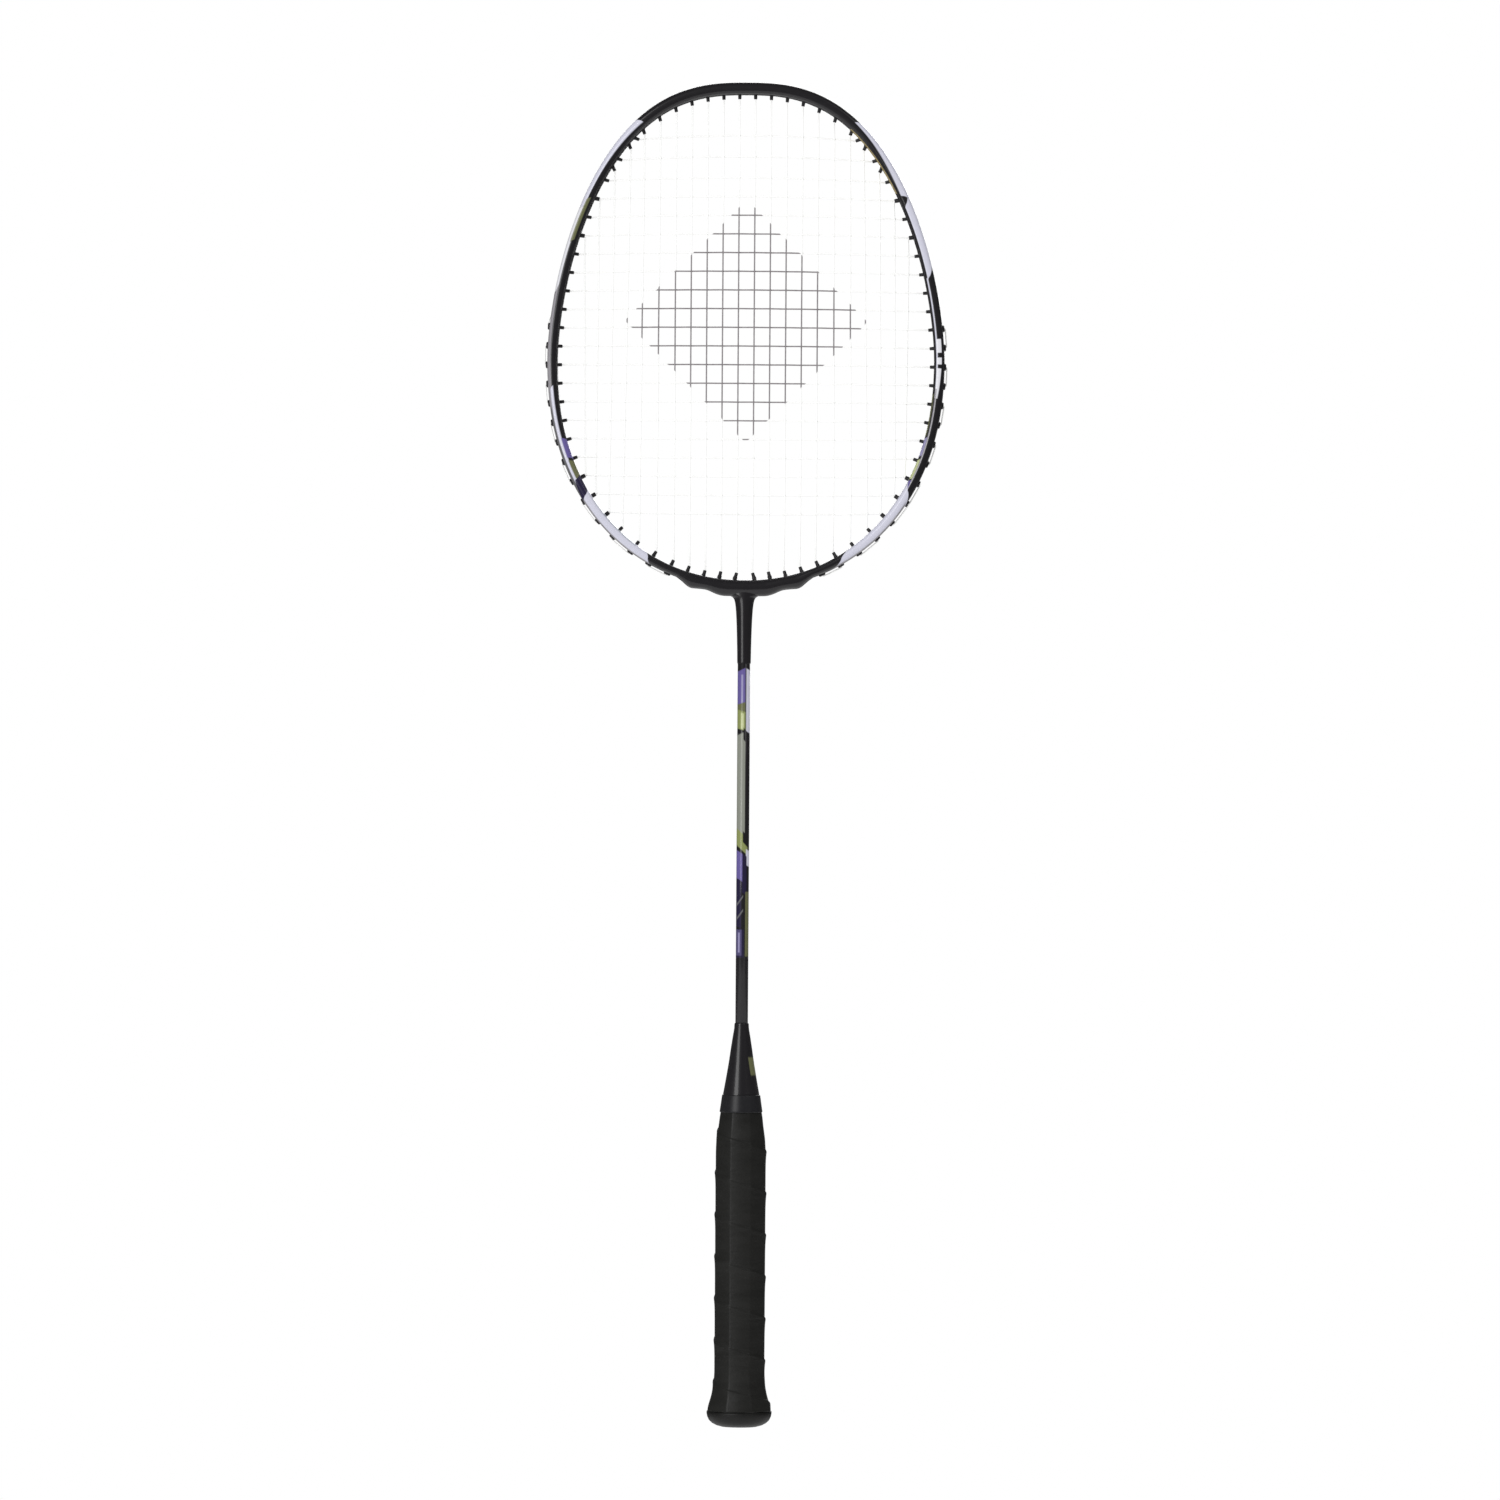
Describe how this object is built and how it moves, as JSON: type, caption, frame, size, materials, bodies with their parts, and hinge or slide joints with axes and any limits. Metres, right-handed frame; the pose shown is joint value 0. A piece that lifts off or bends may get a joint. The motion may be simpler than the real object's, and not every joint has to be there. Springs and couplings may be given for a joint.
{
  "type": "badminton racket",
  "caption": "Strung badminton racket with an oval hoop, slim round shaft, tapered cone and wound eight-sided grip that flares at the butt.",
  "frame": {"origin": "centre of the butt cap's flat end face", "axes": "+Z along the shaft from butt to crown, +X across the face, the front face looks along -Y"},
  "size_m": [0.203, 0.0308, 0.675],
  "materials": {
    "frame_paint": "clear-coated carbon hoop, gloss black with silver, violet and yellow-green bands",
    "shaft_paint": "clear-coated carbon tube, gloss black with violet and yellow-green bands",
    "tee_metal": "plain machined",
    "cone_plastic": "gloss moulded black",
    "handle_wood": "sanded, unvarnished",
    "grip_cover": "matt black polyurethane strip",
    "closing_tape": "satin black vinyl tape",
    "butt_plastic": "satin moulded black",
    "string": "white multifilament nylon, semi-gloss",
    "grommet_nylon": "satin black nylon"
  },
  "bodies": {
    "root": {"head_frame": "frame_paint", "t_joint": "tee_metal", "shaft": "shaft_paint", "cone_cap": "cone_plastic", "handle_core": "handle_wood", "grip_wrap": "grip_cover", "grip_finishing_tape": "closing_tape", "butt_cap": "butt_plastic", "main_string": "string", "cross_string": "string", "crown_grommet_strip": "grommet_nylon", "right_grommet_strip": "grommet_nylon", "left_grommet_strip": "grommet_nylon", "cross_grommet_left_11": "grommet_nylon", "cross_grommet_left_12": "grommet_nylon", "cross_grommet_left_13": "grommet_nylon", "cross_grommet_left_14": "grommet_nylon", "cross_grommet_left_15": "grommet_nylon", "cross_grommet_left_16": "grommet_nylon", "cross_grommet_left_17": "grommet_nylon", "cross_grommet_left_18": "grommet_nylon", "cross_grommet_left_19": "grommet_nylon", "cross_grommet_left_20": "grommet_nylon", "cross_grommet_left_21": "grommet_nylon", "main_grommet_left_1": "grommet_nylon", "main_grommet_left_2": "grommet_nylon", "main_grommet_left_3": "grommet_nylon", "main_grommet_left_4": "grommet_nylon", "main_grommet_left_5": "grommet_nylon", "main_grommet_left_6": "grommet_nylon", "main_grommet_left_7": "grommet_nylon", "main_grommet_left_8": "grommet_nylon", "cross_grommet_right_11": "grommet_nylon", "cross_grommet_right_12": "grommet_nylon", "cross_grommet_right_13": "grommet_nylon", "cross_grommet_right_14": "grommet_nylon", "cross_grommet_right_15": "grommet_nylon", "cross_grommet_right_16": "grommet_nylon", "cross_grommet_right_17": "grommet_nylon", "cross_grommet_right_18": "grommet_nylon", "cross_grommet_right_19": "grommet_nylon", "cross_grommet_right_20": "grommet_nylon", "cross_grommet_right_21": "grommet_nylon", "main_grommet_right_1": "grommet_nylon", "main_grommet_right_2": "grommet_nylon", "main_grommet_right_3": "grommet_nylon", "main_grommet_right_4": "grommet_nylon", "main_grommet_right_5": "grommet_nylon", "main_grommet_right_6": "grommet_nylon", "main_grommet_right_7": "grommet_nylon", "main_grommet_right_8": "grommet_nylon"}
  },
  "joints": []
}
